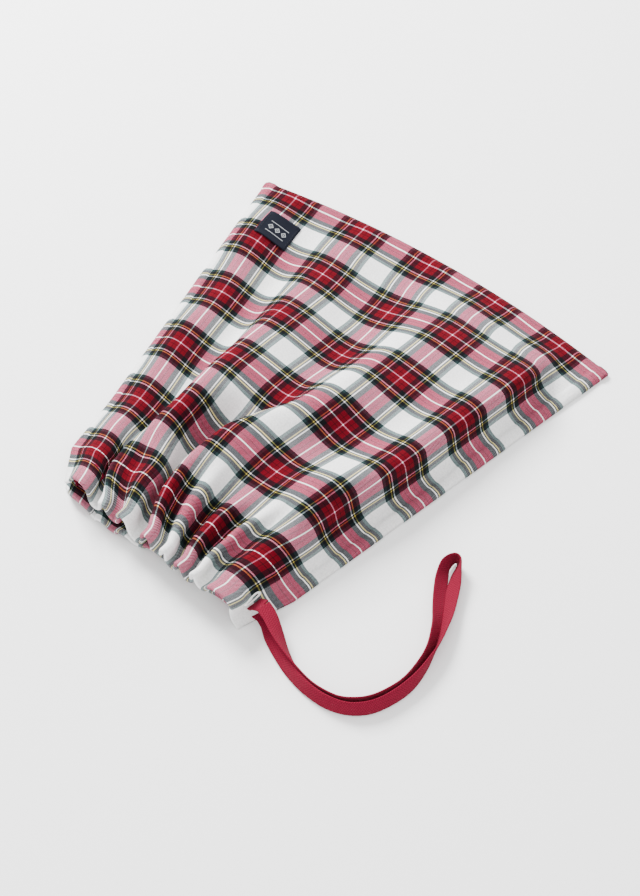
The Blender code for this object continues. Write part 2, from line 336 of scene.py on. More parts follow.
@dataclass(frozen=True)
class TartanTwill:
    """Brushed cotton twill, yarn-dyed in a tartan that repeats the same way in both directions."""

    white: Colour = (0.80, 0.795, 0.79)
    red: Colour = (0.096, 0.0017, 0.0066)
    maroon: Colour = (0.030, 0.0016, 0.0040)
    navy: Colour = (0.0040, 0.0046, 0.0058)
    teal: Colour = (0.012, 0.025, 0.026)
    yellow: Colour = (0.40, 0.30, 0.045)
    thread: float = 1 / 210      # a thread's width, in repeats
    weft_face: float = 0.045     # how much more of the weft than of the warp shows
    cover: float = 0.28          # how much the two yarns' nap runs together, up to a half

    def stops(self) -> list[tuple[float, Colour]]:
        """Give the yarns from the middle of a band to the middle of the ground, in half repeats."""
        return [(0.0, self.white), (0.015, self.red), (0.122, self.maroon), (0.145, self.red),
                (0.262, self.navy), (0.402, self.white), (0.430, self.navy), (0.472, self.yellow),
                (0.500, self.navy), (0.590, self.teal), (0.672, self.white)]

    def build(self) -> bpy.types.Material:
        """Make the material and return it."""
        paint = Paint("tartan_twill")
        across, along = paint.cloth_place()
        yarns = []
        for place in (across, along):
            far = ((place + 0.5).fraction() - 0.5).size() * 2
            yarns.append(paint.node("ShaderNodeValToRGB", {"stops": self.stops()}, {0: far}))
        warp, weft = across / self.thread, along / self.thread
        twill = ((warp.floor() + weft.floor()) / 4).fraction() < 0.5
        both = paint.times(paint.node("ShaderNodeGamma", {}, {0: yarns[0], 1: self.cover - self.weft_face}),
                           paint.node("ShaderNodeGamma", {}, {0: yarns[1], 1: self.cover + self.weft_face}))
        shown = paint.node("ShaderNodeGamma", {}, {0: paint.mix(twill, yarns[0], yarns[1]),
                                                   1: 1 - 2 * self.cover})
        cloth = paint.times(both, shown)      # the two yarns' colours run together as powers of each
        fuzz = paint.noise(900, 3)
        dull, bright = rgba((0.72, 0.72, 0.72)), rgba((1.22, 1.22, 1.22))
        cloth = paint.times(cloth, paint.mix(fuzz, dull, bright))
        round_warp = (warp * pi).wave().size()
        round_weft = (weft * pi).wave().size()
        height = round_warp * twill + round_weft * (1 - twill) + fuzz * 0.8
        return paint.finish(Base_Color=cloth, Roughness=0.95, Specular_IOR_Level=0.03, Sheen_Weight=0.012,
                            Sheen_Roughness=0.5, Normal=paint.bump(height, 0.5, 0.0003))


@dataclass(frozen=True)
class HerringboneTape:
    """Crimson cotton tape, woven in a herringbone with plain edges."""

    # The crimson painted darker in the ribs' troughs and lighter on their crests: painted shade and painted
    # highlight on the herringbone's relief.
    rib_shade: Colour = (0.085, 0.0036, 0.0105)
    bright: Colour = (0.240, 0.0095, 0.0340)
    rib: float = 0.0016          # from one slanting rib to the next
    stripe: float = 0.0025       # from one turn of the slant to the next but one
    slope: float = 1.2
    thread: float = 0.0006       # a thread's width

    def build(self) -> bpy.types.Material:
        """Make the material and return it."""
        paint = Paint("red_tape")
        along, across = paint.cloth_place()
        zigzag = ((across / self.stripe).fraction() - 0.5).size() * self.stripe
        slant = (zigzag * self.slope + along) / self.rib
        ribs = (slant * 2 * pi).wave() * 0.5 + 0.5
        threads = (along / self.thread * pi).wave().size()
        fuzz = paint.noise(1500, 3)
        # The colour follows the slanting ribs as painted shade and painted highlight, with random fibre tone
        # from the noise.
        rib_shading_and_fuzz = ribs * 0.6 + fuzz * 0.4
        colour = paint.mix(rib_shading_and_fuzz, rgba(self.rib_shade), rgba(self.bright))
        relief = paint.bump(ribs + threads * 0.4 + fuzz * 0.6, 0.8, 0.0004)
        return paint.finish(Base_Color=colour, Roughness=0.9, Specular_IOR_Level=0.04, Sheen_Weight=0.02,
                            Sheen_Roughness=0.45, Normal=relief)


@dataclass(frozen=True)
class SewingThread:
    """Twisted thread of one colour."""

    name: str
    colour: Colour

    def build(self) -> bpy.types.Material:
        """Make the material and return it."""
        paint = Paint(self.name)
        fibre = paint.noise(2500, 2)
        light = tuple(min(1.0, c * 1.25 + 0.01) for c in self.colour)
        colour = paint.mix(fibre, rgba(self.colour), rgba(light))
        return paint.finish(Base_Color=colour, Roughness=0.8, Specular_IOR_Level=0.1, Sheen_Weight=0.02,
                            Normal=paint.bump(fibre, 0.4, 0.0002))


@dataclass(frozen=True)
class WovenLabel:
    """Navy damask label with a small motif of diamonds between two rules, and no lettering."""

    ground: Colour = (0.0035, 0.0042, 0.0075)
    motif: Colour = (0.26, 0.27, 0.28)

    def build(self) -> bpy.types.Material:
        """Make the material and return it. The label's own place runs from -1 to 1 both ways."""
        paint = Paint("navy_label")
        across, along = paint.cloth_place()
        marks = None
        for centre in (-0.42, 0.0, 0.42):
            far = (across - centre).size() / 0.17 + (along - 0.08).size() / 0.20
            ring = (far < 1.0) - (far < 0.62) + (far < 0.26)
            marks = ring if marks is None else marks.most(ring)
        for level in (0.46, -0.30):
            rule = ((along - level).size() < 0.022) * (across.size() < 0.58)
            marks = marks.most(rule)
        threads = (across * 70).wave() * (along * 60).wave()
        weave = threads * 0.5 + 0.5
        ground = paint.mix(weave, rgba(self.ground), rgba(tuple(c * 1.9 for c in self.ground)))
        colour = paint.mix(marks, ground, rgba(self.motif))
        return paint.finish(Base_Color=colour, Roughness=0.8, Specular_IOR_Level=0.05, Sheen_Weight=0.01,
                            Normal=paint.bump(weave + marks * 1.5, 0.5, 0.0002))


# -------- the cloth as it lies

class Ply(Enum):
    """The two plies of the sack."""

    FRONT = "front_panel"
    BACK = "back_panel"


@dataclass(frozen=True)
class FoldLine:
    """One long crest, valley or edge: its place across and its height in millimetres, at each plan row."""

    u: tuple[float, ...]
    z: tuple[float, ...]


PLAN_ROWS = (0.0, 0.14, 1.14, 2.14, 3.14, 4.14, 5.28, MOUTH_V)
EDGE_U = (HALF_CLOTH,) * len(PLAN_ROWS)
FOLD_PLAN = (
    FoldLine(tuple(-u for u in EDGE_U), (1.6, 1.6, 1.6, 1.6, 1.6, 1.6, 8, 9)),
    FoldLine((-2.3, -2.3, -2.25, -2.1, -2.2, -2.1, -2.0, -2.1), (1.6, 4.5, 12, 11, 13, 14, 24, 27)),
    FoldLine((-1.65, -1.65, -1.6, -1.65, -1.65, -1.65, -1.55, -1.5), (1.6, 2.2, 2.2, 4, 5, 7, 7, 12)),
    FoldLine((-1.15, -1.15, -1.2, -1.05, -1.0, -1.1, -1.2, -1.2), (1.6, 3.2, 9, 21, 30, 40, 33, 22)),
    FoldLine((-0.3, -0.3, -0.4, -0.1, -0.1, -0.4, -0.4, -0.4), (1.6, 2.0, 2.2, 10, 20, 15, 18, 16)),
    FoldLine((0.83, 0.83, 0.85, 0.6, 0.45, 0.1, -0.05, 0.05), (1.6, 4.0, 22, 27, 36, 41, 31, 23)),
    FoldLine((1.45, 1.45, 1.45, 1.4, 1.2, 0.95, 0.8, 0.9), (1.6, 3.0, 22, 23, 22, 28, 19, 18)),
    FoldLine((1.95, 1.95, 1.95, 1.9, 1.9, 1.6, 1.92, 2.12), (1.6, 3.2, 27, 30, 32, 37, 24, 25)),
    FoldLine((2.25, 2.25, 2.32, 2.32, 2.35, 2.4, 2.53, 2.54), (1.6, 2.0, 6, 8, 5, 4, 4, 3.5)),
    FoldLine(EDGE_U, (1.6, 1.6, 1.6, 1.6, 1.6, 1.6, 1.6, 1.6)),
)
BOW = (14, 13, 10, 9, 6, 1, -1, -1)                      # how far each row stands out towards +Y
TIGHT_RUFFLES = (-1.25, 0.36, 0.30)                      # place, reach and how much steeper
LOOSE_RUFFLES = (-0.35, 0.40, -0.28)
RUFFLE_CRESTS = (-2.15, -1.45, -0.75, -0.1, 0.42, 0.92, 1.40, 2.0)
RUFFLE_VALLEYS = (-1.72, -1.15, -0.42, 0.20, 0.66, 1.17, 1.58)


@dataclass
class Drape:
    """The cloth's shape: where each point of a ply lies."""

    columns: int = 281
    steepest: float = 1.55       # the steepest slope of a ruffle, in radians
    side_step: float = 0.0538    # one repeat along the puckered side seams
    corner: tuple[float, float] = (0.149, 0.146)
    side_end: tuple[float, float] = (0.0925, -0.127)
    far_tip: tuple[float, float] = (-0.077, -0.150)
    near_tip: tuple[float, float] = (0.0780, -0.1630)
    u: np.ndarray = field(init=False)

    def __post_init__(self) -> None:
        """Divide the cloth into columns, and place the ruffles."""
        self.u = np.linspace(-HALF_CLOTH, HALF_CLOTH, self.columns)
        places = sorted(RUFFLE_CRESTS + RUFFLE_VALLEYS)
        xs = [-HALF_CLOTH, *places, HALF_CLOTH]
        self.phase = through(xs, np.arange(-1, len(places) + 1), self.u)
        inside = np.clip((HALF_CLOTH - np.abs(self.u)) / 0.35, 0, 1)
        near_end = 1 - 0.7 * ease((self.u - 1.5) / 0.5)
        far_end = 1 - 0.75 * ease((-1.7 - self.u) / 0.3)
        self.window = ease(inside) * near_end * far_end
        steeper = [grow * np.exp(-((self.u - place) / reach) ** 2)
                   for place, reach, grow in (TIGHT_RUFFLES, LOOSE_RUFFLES)]
        self.window *= 1 + steeper[0] + steeper[1]

    def side(self, v: float, sign: int) -> np.ndarray:
        """Plan position of a side edge at one row."""
        corner = np.array([sign * self.corner[0], self.corner[1]])
        end = np.array([sign * self.side_end[0], self.side_end[1]])
        tip = np.array(self.near_tip if sign > 0 else self.far_tip)
        full = np.linalg.norm(end - corner) / self.side_step
        place = corner + (end - corner) * min(v / full, 1.0)
        return place + (tip - end) * max(v - full, 0.0) / (MOUTH_V - full)

    def base(self, v: float) -> np.ndarray:
        """Height of the long folds along one row, in metres."""
        at = np.array([v])
        us = [float(through(PLAN_ROWS, line.u, at)[0]) for line in FOLD_PLAN]
        zs = [float(through(PLAN_ROWS, line.z, at)[0]) for line in FOLD_PLAN]
        return soften(through(us, zs, self.u), 8) * MM

    def lay(self, heights: np.ndarray, ruffle: float) -> tuple[np.ndarray, np.ndarray]:
        """Lay the cloth along a row at its true length.

        Args:
            heights: Height of the long folds.
            ruffle: Steepness of the ruffles.

        Returns:
            Distance run across the plan, and height.
        """
        step = (self.u[1] - self.u[0]) * REPEAT
        slope = np.arcsin(np.clip(np.gradient(heights, step), -0.97, 0.97))
        angle = slope - ruffle * self.window * np.sin(pi * self.phase)
        run = np.concatenate([[0], np.cumsum(np.cos(angle[1:]) * step)])
        rise = np.concatenate([[0], np.cumsum(np.sin(angle[1:]) * step)]) + heights[0]
        drift = soften(soften(rise - heights, 22), 22)
        ends = ease(np.minimum(self.u + HALF_CLOTH, HALF_CLOTH - self.u) / 0.5)
        drift = drift * ends + (rise - heights) * (1 - ends)
        return run, rise - drift

    def seam_swell(self, v: float) -> np.ndarray:
        """How far the seam allowances lift the front ply along its sewn edges."""
        edge = np.minimum(self.u + HALF_CLOTH, HALF_CLOTH - self.u) * REPEAT / MM
        side = ease((edge - 0.5) / 1.8) * (1 - ease((edge - 6.5) / 3.5)) * (1 - ease((v - 4.9) / 0.3))
        up = v * REPEAT / MM
        bottom = float(ease((up - 0.5) / 1.8) * (1 - ease((up - 6.5) / 3.5)))
        return 1.4 * MM * np.maximum(side, bottom)

    def puckers(self, v: float) -> np.ndarray:
        """Small waves that the seams' stitching draws into the cloth, dying away from the edges.

        Args:
            v: The row's place along the cloth.

        Returns:
            Added height along the row.
        """
        waves = np.zeros_like(self.u)
        for sign, shift in ((-1, 0.4), (1, 1.9)):
            edge = (HALF_CLOTH - sign * self.u) * REPEAT / MM
            fade = ease((edge - 1.5) / 6) * np.exp(-np.maximum(edge - 7, 0) / 16)
            wave = np.sin(v * 5.3 + shift) * 0.55 + np.sin(v * 9.7 + 2 * shift) * 0.45
            waves += fade * (wave + 0.35) * (1 - ease((v - 4.8) / 0.4))
        up = v * REPEAT / MM
        fade = float(ease((up - 1.5) / 5)) * np.exp(-max(up - 6, 0) / 12)
        waves += 0.7 * fade * (np.sin(self.u * 6.1 + 0.8) * 0.6 + np.sin(self.u * 11.3) * 0.4 + 0.3)
        waves += 0.22 * np.sin(self.u * 8.3 + v * 5.1) * np.sin(v * 7.3 - self.u * 2.2 + 1)
        return waves * ease(up / 4) * MM

    def row(self, v: float) -> np.ndarray:
        """Lay one row of the front ply, with ruffles that take up the cloth's spare width.

        Args:
            v: The row's place along the cloth.

        Returns:
            The row's points.
        """
        heights = self.base(v)
        near, far = self.side(v, 1), self.side(v, -1)
        bow = float(through(PLAN_ROWS, BOW, np.array([v]))[0]) * MM
        chord = float(np.linalg.norm(near - far))
        grown = float(ease((v - 4.2) / 0.9))
        low, high = 0.0, self.steepest
        for _ in range(18):
            middle = (low + high) / 2
            if self.lay(heights, middle)[0][-1] > chord:
                low = middle
            else:
                high = middle
        run, z = self.lay(heights, low * grown)
        z = z + self.seam_swell(v) + self.puckers(v)
        share = run / run[-1]
        plan = far[None] * (1 - share)[:, None] + near[None] * share[:, None]
        plan[:, 1] += bow * 4 * share * (1 - share)
        return np.column_stack([plan, z])

    def rows(self, places: Sequence[float]) -> np.ndarray:
        """The front ply's points for many rows."""
        return np.array([self.row(v) for v in places])


def normals(points: np.ndarray) -> np.ndarray:
    """Unit normals of a grid of points, upwards for a sheet that lies face up."""
    across = np.gradient(points, axis=1)
    along = np.gradient(points, axis=0)
    turned = np.cross(along, across)
    return turned / np.maximum(np.linalg.norm(turned, axis=-1, keepdims=True), 1e-9)


@dataclass
class Panel:
    """One panel of the sack with its turned hem."""

    ply: Ply
    drape: Drape
    body_rows: int = 118
    hem_rows: int = 12
    fold_rows: int = 5
    tunnel: float = 0.0021       # from the outer ply's middle to the turned ply's, where the tape runs
    back_lift: float = 0.48      # how far the back ply follows the front ply's folds in the body
    back_mouth_lift: float = 0.26
    floor_gap: float = 0.0005

    def places(self) -> np.ndarray:
        """The rows' places along the cloth, closer together at the mouth."""
        share = np.linspace(0, 1, self.body_rows)
        return MOUTH_V * (share * 1.12 - 0.12 * share * share)

    def outer(self) -> np.ndarray:
        """Lay the panel out from the bottom edge to the fold at the mouth.

        Returns:
            Rows by columns by three. The back ply lies lower than the front ply, and follows its folds less.
        """
        points = self.drape.rows(self.places())
        if self.ply is Ply.FRONT:
            return points
        v = self.places()[:, None]
        height = points[..., 2]
        low = self.floor_gap + self.back_lift * np.maximum(height - 0.006, 0) * ease((v - 0.6) / 1.6)
        mouth = ease((v - 4.7) / 0.6)
        room = np.maximum(height - 0.0062, self.floor_gap)
        wavy = self.floor_gap + self.back_mouth_lift * np.maximum(height - 0.007, 0)
        inside = ease((HALF_CLOTH - np.abs(self.drape.u)) / 0.4) * mouth
        points[..., 1] += inside * (0.010 * ease((points[..., 0] + 0.045) / 0.07) - 0.003)
        points[..., 2] = np.minimum(low * (1 - mouth) + wavy * mouth, room)
        return points

    def build(self) -> bpy.types.Object:
        """Make the panel, its hem turned to the inside at the mouth.

        Returns:
            The cloth, with its thickness.
        """
        outer = self.outer()
        v = self.places()
        front = self.ply is Ply.FRONT
        facing = normals(outer) * (1 if front else -1)
        edge = np.minimum(self.drape.u + HALF_CLOTH, HALF_CLOTH - self.drape.u)
        gap = (0.0010 + (self.tunnel - 0.0010) * ease(edge / 0.30))[None, :, None]
        last, out = outer[-1:], facing[-1:]
        ahead = outer[-1:] - outer[-2:-1]
        ahead /= np.linalg.norm(ahead, axis=-1, keepdims=True)
        turns = [pi * (i + 1) / (self.fold_rows + 1) for i in range(self.fold_rows)]
        fold = np.concatenate([last - out * gap / 2 * (1 - cos(a)) + ahead * gap / 2 * sin(a) for a in turns])
        back = np.linspace(MOUTH_V, STITCH_V + 0.01, self.hem_rows)
        inner = np.empty((self.hem_rows, self.drape.columns, 3))
        for j, place in enumerate(back):
            k = min(int(np.searchsorted(v, place)), len(v) - 1)
            k = max(k, 1)
            t = (place - v[k - 1]) / (v[k] - v[k - 1])
            near = outer[k - 1] * (1 - t) + outer[k] * t
            normal = facing[k - 1] * (1 - t) + facing[k] * t
            close = 0.0010 + (gap[0] - 0.0010) * ease((place - STITCH_V) / 0.12)
            inner[j] = near - normal * close
        points = np.concatenate([outer, fold, inner])
        along = np.concatenate([v, MOUTH_V + np.array(turns) * self.tunnel / 2 / REPEAT,
                                MOUTH_V + pi * self.tunnel / 2 / REPEAT + (MOUTH_V - back)])
        uv = np.empty(points.shape[:2] + (2,))
        uv[..., 0] = self.drape.u[None] * BAND_SPREAD + BAND_U
        uv[..., 1] = along[:, None] - BAND_V
        cloth = grid_object(self.ply.value + "_cloth", points, uv, flip=front)
        thicken(cloth, CLOTH)
        return cloth


def gather(item: bpy.types.Object) -> None:
    """Bake a piece's place into its mesh."""
    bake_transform(item)


# -------- tape

def follow(points: Sequence[Sequence[float]], steps: int) -> np.ndarray:
    """A smooth curve through points, each point carrying all its values along.

    Args:
        points: The points, with any number of values each.
        steps: Smaller steps between two points.

    Returns:
        The curve's points.
    """
    held = np.array([points[0], *points, points[-1]], float)
    t = np.arange(steps)[:, None] / steps
    line = []
    for a, b, c, d in zip(held, held[1:], held[2:], held[3:]):
        line.append(0.5 * (2 * b + (c - a) * t + (2 * a - 5 * b + 4 * c - d) * t ** 2
                           + (3 * b - 3 * c + d - a) * t ** 3))
    return np.concatenate([*line, held[-1:]])


def ribbon(name: str, path: np.ndarray, wide: np.ndarray, width: float, thickness: float,
           cup: float = 0.0) -> bpy.types.Object:
    """Make a flat band with rounded edges and closed ends.

    Args:
        name: The object's name.
        path: The middle line's points.
        wide: The direction of the width at each point.
        width: The band's width.
        thickness: The band's thickness.
        cup: How far the two edges curl to one side.

    Returns:
        The band.
    """
    ahead = np.gradient(path, axis=0)
    ahead /= np.linalg.norm(ahead, axis=1, keepdims=True)
    wide = wide - ahead * np.sum(wide * ahead, axis=1, keepdims=True)
    wide /= np.linalg.norm(wide, axis=1, keepdims=True)
    up = np.cross(ahead, wide)
    half = thickness / 2
    across = np.array([-1.0, -0.97, -0.8, -0.4, 0.0, 0.4, 0.8, 0.97, 1.0])
    body = half * np.array([0.25, 0.8, 1.0, 1.0, 1.0, 1.0, 1.0, 0.8, 0.25])
    places = np.concatenate([across, across[::-1]])
    levels = np.concatenate([body, -body[::-1]]) + cup * places ** 2
    count = len(places)
    points = (path[:, None] + wide[:, None] * (places * width / 2)[None, :, None]
              + up[:, None] * levels[None, :, None])
    length = np.concatenate([[0], np.cumsum(np.linalg.norm(np.diff(path, axis=0), axis=1))])
    uv = np.empty(points.shape[:2] + (2,))
    uv[..., 0] = length[:, None]
    uv[..., 1] = places[None] * width / 2
    faces = []
    for j in range(len(path) - 1):
        for i in range(count):
            k = (i + 1) % count
            faces.append((j * count + i, j * count + k, (j + 1) * count + k, (j + 1) * count + i))
    last = (len(path) - 1) * count
    faces.append(tuple(range(count))[::-1])
    faces.append(tuple(last + i for i in range(count)))
    item = mesh_object(name, points.reshape(-1, 3), faces, uv.reshape(-1, 2))
    turn_outwards(item)
    return item


def turn_outwards(item: bpy.types.Object) -> None:
    """Turn all faces of a closed mesh outwards."""
    clear_selection()
    bpy.context.view_layer.objects.active = item
    item.select_set(True)
    bpy.ops.object.mode_set(mode="EDIT")
    bpy.ops.mesh.select_all(action="SELECT")
    bpy.ops.mesh.normals_make_consistent(inside=False)
    bpy.ops.object.mode_set(mode="OBJECT")
    item.select_set(False)


def leaning(path: np.ndarray, lean: np.ndarray) -> np.ndarray:
    """Width directions of a band, each given by its lean from standing on edge, in radians."""
    ahead = np.gradient(path, axis=0)
    ahead /= np.linalg.norm(ahead, axis=1, keepdims=True)
    up = np.array([0.0, 0.0, 1.0]) - ahead * ahead[:, 2:3]
    up /= np.linalg.norm(up, axis=1, keepdims=True)
    return up * np.cos(lean)[:, None] + np.cross(ahead, up) * np.sin(lean)[:, None]


TAPE_WIDTH = 0.010
TAPE_THICK = 0.0010
TAPE_Y = -0.148
EXIT_X = 0.0855
# The free loop from the front casing's end round the eye to the back casing's end:
# x, y, z of its middle, and its lean from standing on edge, in degrees.
LOOP_ROUTE = (
    (EXIT_X, TAPE_Y, 0.0158, 90), (0.0930, -0.1505, 0.0146, 76), (0.1036, -0.1562, 0.0120, 54),
    (0.1140, -0.1612, 0.0092, 30), (0.1261, -0.1656, 0.0066, 10), (0.1385, -0.1682, 0.0058, 4),
    (0.1499, -0.1682, 0.0056, 2), (0.1600, -0.1655, 0.0055, 0), (0.1695, -0.1583, 0.0055, -2),
    (0.1768, -0.1470, 0.0055, -4), (0.1812, -0.1340, 0.0055, -8), (0.1820, -0.1190, 0.0054, -14),
    (0.1797, -0.1040, 0.0052, -26), (0.1748, -0.0905, 0.0048, -42), (0.1682, -0.0790, 0.0042, -54),
    (0.1612, -0.0680, 0.0038, -60), (0.1556, -0.0580, 0.0041, -54), (0.1522, -0.0492, 0.0048, -34),
    (0.1540, -0.0420, 0.0055, -8), (0.1582, -0.0425, 0.0055, -10), (0.1618, -0.0505, 0.0048, -38),
    (0.1665, -0.0605, 0.0041, -54), (0.1714, -0.0715, 0.0040, -58), (0.1770, -0.0840, 0.0046, -44),
    (0.1822, -0.0980, 0.0053, -20), (0.1855, -0.1130, 0.0056, 4), (0.1862, -0.1290, 0.0056, 20),
    (0.1833, -0.1440, 0.0055, 23), (0.1768, -0.1583, 0.0055, 24), (0.1663, -0.1681, 0.0055, 24),
    (0.1530, -0.1725, 0.0055, 24), (0.1380, -0.1725, 0.0055, 26), (0.1230, -0.1690, 0.0052, 32),
    (0.1110, -0.1634, 0.0046, 48), (0.0990, -0.1566, 0.0038, 66), (0.0915, -0.1508, 0.0036, 82),
    (EXIT_X, TAPE_Y, 0.0036, 90),
)


@dataclass
class Drawstring:
    """The tape: its two runs in the casings, its turn at the far end, and the free loop."""

    drape: Drape
    spare: float = 0.053         # tape that lies inside and slides out of the casings
    bend: float = 0.030          # length over which the loop turns out of the casings

    def loop(self, finish: bpy.types.Material) -> bpy.types.Object:
        """The free loop, doubled and lying on its edge.

        Args:
            finish: The material.

        Returns:
            The loop.
        """
        line = follow(LOOP_ROUTE, 6)
        path, lean = line[:, :3], np.radians(line[:, 3])
        steps = np.linspace(0, 1, len(path))
        waver = 0.0004 * np.sin(steps * 61) + 0.0003 * np.sin(steps * 137 + 1)
        lean = lean + waver / 0.0004 * radians(2.0) * np.sin(pi * steps)
        band = ribbon("drawstring_tape_loop", path, leaning(path, lean), TAPE_WIDTH, TAPE_THICK, cup=0.0003)
        band.data.materials.append(finish)
        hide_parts("drawstring_loop")
        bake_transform(band)
        return band

    def runs(self, finish: bpy.types.Material) -> list[bpy.types.Object]:
        """The near ends of the two runs, which slide out as the tape is pulled.

        Args:
            finish: The material.

        Returns:
            Both runs.
        """
        made = []
        for node, inner_z, outer_z in (("drawstring_front_run", 0.0090, LOOP_ROUTE[0][2]),
                                       ("drawstring_back_run", 0.0036, LOOP_ROUTE[-1][2])):
            line = follow([(EXIT_X - self.spare, TAPE_Y, inner_z), (EXIT_X - 0.012, TAPE_Y, inner_z),
                           (EXIT_X - 0.005, TAPE_Y, (inner_z + outer_z) / 2), (EXIT_X, TAPE_Y, outer_z)], 6)
            wide = np.tile(np.array([0.0, 1.0, 0.0]), (len(line), 1))
            band = ribbon(node + "_tape", line, wide, TAPE_WIDTH, TAPE_THICK)
            band.data.materials.append(finish)
            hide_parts(node)
            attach(band, "drawstring")
            made.append(band)
        return made

    def far_turn(self, finish: bpy.types.Material) -> None:
        """The tape's turn from one casing to the other, inside the far end of the mouth.

        Args:
            finish: The material.
        """
        line = []
        for ply, columns in ((Ply.FRONT, (40, 30, 22)), (Ply.BACK, (22, 30, 40))):
            panel = Panel(ply, self.drape)
            grid = panel.outer()
            k = int(np.searchsorted(panel.places(), (STITCH_V + MOUTH_V) / 2))
            sink = -1 if ply is Ply.FRONT else 1
            line += [(*grid[k, c, :2], grid[k, c, 2] + sink * panel.tunnel / 2) for c in columns]
        front, back = np.array(line[2]), np.array(line[3])
        line.insert(3, tuple((front + back) / 2 + np.array([-0.0035, 0.0, 0.0])))
        path = follow(line, 8)
        wide = np.tile(np.array([0.0, 1.0, 0.0]), (len(path), 1))
        band = ribbon("drawstring_far_turn_tape", path, wide, TAPE_WIDTH, TAPE_THICK)
        band.data.materials.append(finish)
        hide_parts("drawstring_far_turn")
        gather(band)


# -------- label and stitches

def stitch_pattern(length: float, radius: float) -> tuple[np.ndarray, list]:
    """Model one stitch: a short thread whose two ends dive into the cloth.

    Args:
        length: The stitch's length.
        radius: The thread's radius.

    Returns:
        Its points, along X with Z up, and its faces.
    """
    clear_selection()
    bpy.ops.mesh.primitive_cylinder_add(vertices=8, radius=radius, depth=length * 0.5,
                                        rotation=(0, pi / 2, 0), end_fill_type="NGON")
    item = bpy.context.active_object
    bpy.ops.object.transform_apply(location=True, rotation=True, scale=True)
    for side in (-1, 1):
        for reach, shrink, drop in ((0.16, 0.85, 0.25), (0.12, 0.6, 0.9)):
            bpy.ops.object.mode_set(mode="EDIT")
            bpy.ops.mesh.select_all(action="DESELECT")
            bpy.ops.object.mode_set(mode="OBJECT")
            tip = max(item.data.polygons, key=lambda face: side * face.center.x)
            tip.select = True
            bpy.ops.object.mode_set(mode="EDIT")
            bpy.ops.mesh.select_mode(type="FACE")
            bpy.ops.mesh.extrude_region_move(
                TRANSFORM_OT_translate={"value": (side * length * reach, 0, -radius * drop)})
            bpy.ops.transform.resize(value=(1, shrink, shrink))
            bpy.ops.object.mode_set(mode="OBJECT")
    points = np.array([v.co for v in item.data.vertices])
    faces = [tuple(face.vertices) for face in item.data.polygons]
    bpy.data.objects.remove(item, do_unlink=True)
    return points, faces


def sew(name: str, line: np.ndarray, up: np.ndarray, length: float, radius: float,
        gap: float) -> bpy.types.Object:
    """Copy one stitch along a line on the cloth.

    Args:
        name: The object's name.
        line: Closely spaced points on the cloth's surface.
        up: The cloth's normal at each of them.
        length: The stitch's length.
        radius: The thread's radius.
        gap: The space between stitches.

    Returns:
        All the stitches as one object.
    """
    pattern, pattern_faces = stitch_pattern(length, radius)
    far = np.concatenate([[0], np.cumsum(np.linalg.norm(np.diff(line, axis=0), axis=1))])
    points, faces = [], []
    count = int((far[-1] + gap) // (length + gap))
    for k in range(count):
        ends = np.array([k * (length + gap), k * (length + gap) + length])
        first, last = (np.array([np.interp(e, far, line[:, c]) for c in range(3)]) for e in ends)
        out = np.array([np.interp(ends.mean(), far, up[:, c]) for c in range(3)])
        middle = np.array([np.interp(ends.mean(), far, line[:, c]) for c in range(3)])
        ahead = (last - first) / np.linalg.norm(last - first)
        out = out - ahead * out.dot(ahead)
        out /= np.linalg.norm(out)
        side = np.cross(out, ahead)
        faces += [tuple(i + len(points) * len(pattern) for i in face) for face in pattern_faces]
        points.append(middle + pattern[:, :1] * ahead + pattern[:, 1:2] * side + pattern[:, 2:] * out)
    item = mesh_object(name, np.concatenate(points), faces)
    turn_outwards(item)
    return item


@dataclass
class Label:
    """The woven label on the front panel, near a bottom corner."""

    drape: Drape
    u: float = -1.985
    v: float = 0.79
    width: float = 0.0265
    height: float = 0.0265
    thickness: float = 0.0005
    steps: int = 24

    def surface(self, us: np.ndarray, vs: np.ndarray, lift: float) -> np.ndarray:
        """Points a little above the front panel, at places on the cloth."""
        rows = self.drape.rows(vs)
        lines = np.stack([np.stack([np.interp(us, self.drape.u, row[:, c]) for c in range(3)], -1)
                          for row in rows])
        return lines + normals(lines) * lift

    def build(self, finish: bpy.types.Material) -> bpy.types.Object:
        """The label, with its folded top and bottom edges a little thicker.

        Args:
            finish: The material.

        Returns:
            The label.
        """
        us = self.u + np.linspace(-0.5, 0.5, self.steps) * self.width / REPEAT
        vs = self.v + np.linspace(-0.5, 0.5, self.steps) * self.height / REPEAT
        points = self.surface(us, vs, CLOTH / 2 + self.thickness / 2 + 0.0002)
        side = np.linspace(-1, 1, self.steps)
        ends = ease((np.abs(side) - 0.55) / 0.45)
        middle = 1 - ease((np.abs(side) - 0.75) / 0.25)
        open_edge = ends[:, None] * middle[None]
        points[..., 2] += 0.0009 * open_edge
        uv = np.empty(points.shape[:2] + (2,))
        uv[..., 0] = side[None]
        uv[..., 1] = side[:, None]
        item = grid_object("woven_label_cloth", points, uv, flip=True)
        thicken(item, self.thickness)
        item.data.materials.append(finish)
        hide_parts("woven_label")
        gather(item)
        return item

    def stitching(self, finish: bpy.types.Material) -> None:
        """A row of small stitches down each side.

        Args:
            finish: The material.
        """
        vs = self.v + np.linspace(-0.47, 0.47, self.steps) * self.height / REPEAT
        for node, sign in (("label_stitching_left", -1), ("label_stitching_right", 1)):
            us = self.u + np.array([-0.002, 0.0, 0.002]) / REPEAT + sign * (self.width / 2 - 0.0018) / REPEAT
            grid = self.surface(us, vs, CLOTH / 2 + self.thickness + 0.0003)
            item = sew(node + "_thread", grid[:, 1], normals(grid)[:, 1], 0.0020, 0.00022, 0.0006)
            item.data.materials.append(finish)
            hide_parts(node)
            gather(item)


